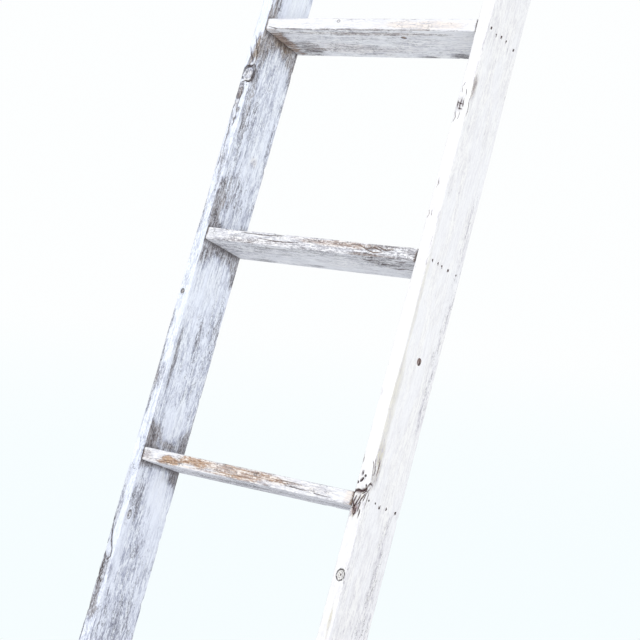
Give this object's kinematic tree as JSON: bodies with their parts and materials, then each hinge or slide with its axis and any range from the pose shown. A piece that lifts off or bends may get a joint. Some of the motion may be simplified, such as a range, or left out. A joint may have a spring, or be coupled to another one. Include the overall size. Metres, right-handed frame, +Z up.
{
  "type": "leaning quilt ladder",
  "caption": "Rustic leaning ladder for hanging quilts: flat board rungs nailed between two flat board rails, in worn whitewashed wood.",
  "frame": {"origin": "on the floor, in the middle of the ladder's bounding box", "axes": "+X to the viewer's right along the rungs, -Y the side that faces the room, +Y towards the wall that it leans on, +Z up"},
  "size_m": [0.381, 0.6304, 1.712],
  "materials": {
    "rail_wood": "worn whitewash over grey weathered timber, dry and matt",
    "rung_wood": "worn whitewash, rubbed through to brown and grey timber, dry and matt",
    "brad_steel": "dull, darkened by rust"
  },
  "bodies": {
    "root": {"rail_left": "rail_wood", "rail_right": "rail_wood", "rung_1": "rung_wood", "rung_2": "rung_wood", "rung_3": "rung_wood", "rung_4": "rung_wood", "rung_5": "rung_wood", "brad_left_1_1": "brad_steel", "brad_left_1_2": "brad_steel", "brad_left_1_3": "brad_steel", "brad_left_1_4": "brad_steel", "brad_left_1_5": "brad_steel", "brad_right_1_1": "brad_steel", "brad_right_1_2": "brad_steel", "brad_right_1_3": "brad_steel", "brad_right_1_4": "brad_steel", "brad_right_1_5": "brad_steel", "brad_left_2_1": "brad_steel", "brad_left_2_2": "brad_steel", "brad_left_2_3": "brad_steel", "brad_left_2_4": "brad_steel", "brad_left_2_5": "brad_steel", "brad_right_2_1": "brad_steel", "brad_right_2_2": "brad_steel", "brad_right_2_3": "brad_steel", "brad_right_2_4": "brad_steel", "brad_right_2_5": "brad_steel", "brad_left_3_1": "brad_steel", "brad_left_3_2": "brad_steel", "brad_left_3_3": "brad_steel", "brad_left_3_4": "brad_steel", "brad_left_3_5": "brad_steel", "brad_right_3_1": "brad_steel", "brad_right_3_2": "brad_steel", "brad_right_3_3": "brad_steel", "brad_right_3_4": "brad_steel", "brad_right_3_5": "brad_steel", "brad_left_4_1": "brad_steel", "brad_left_4_2": "brad_steel", "brad_left_4_3": "brad_steel", "brad_left_4_4": "brad_steel", "brad_left_4_5": "brad_steel", "brad_right_4_1": "brad_steel", "brad_right_4_2": "brad_steel", "brad_right_4_3": "brad_steel", "brad_right_4_4": "brad_steel", "brad_right_4_5": "brad_steel", "brad_left_5_1": "brad_steel", "brad_left_5_2": "brad_steel", "brad_left_5_3": "brad_steel", "brad_left_5_4": "brad_steel", "brad_left_5_5": "brad_steel", "brad_right_5_1": "brad_steel", "brad_right_5_2": "brad_steel", "brad_right_5_3": "brad_steel", "brad_right_5_4": "brad_steel", "brad_right_5_5": "brad_steel"}
  },
  "joints": []
}
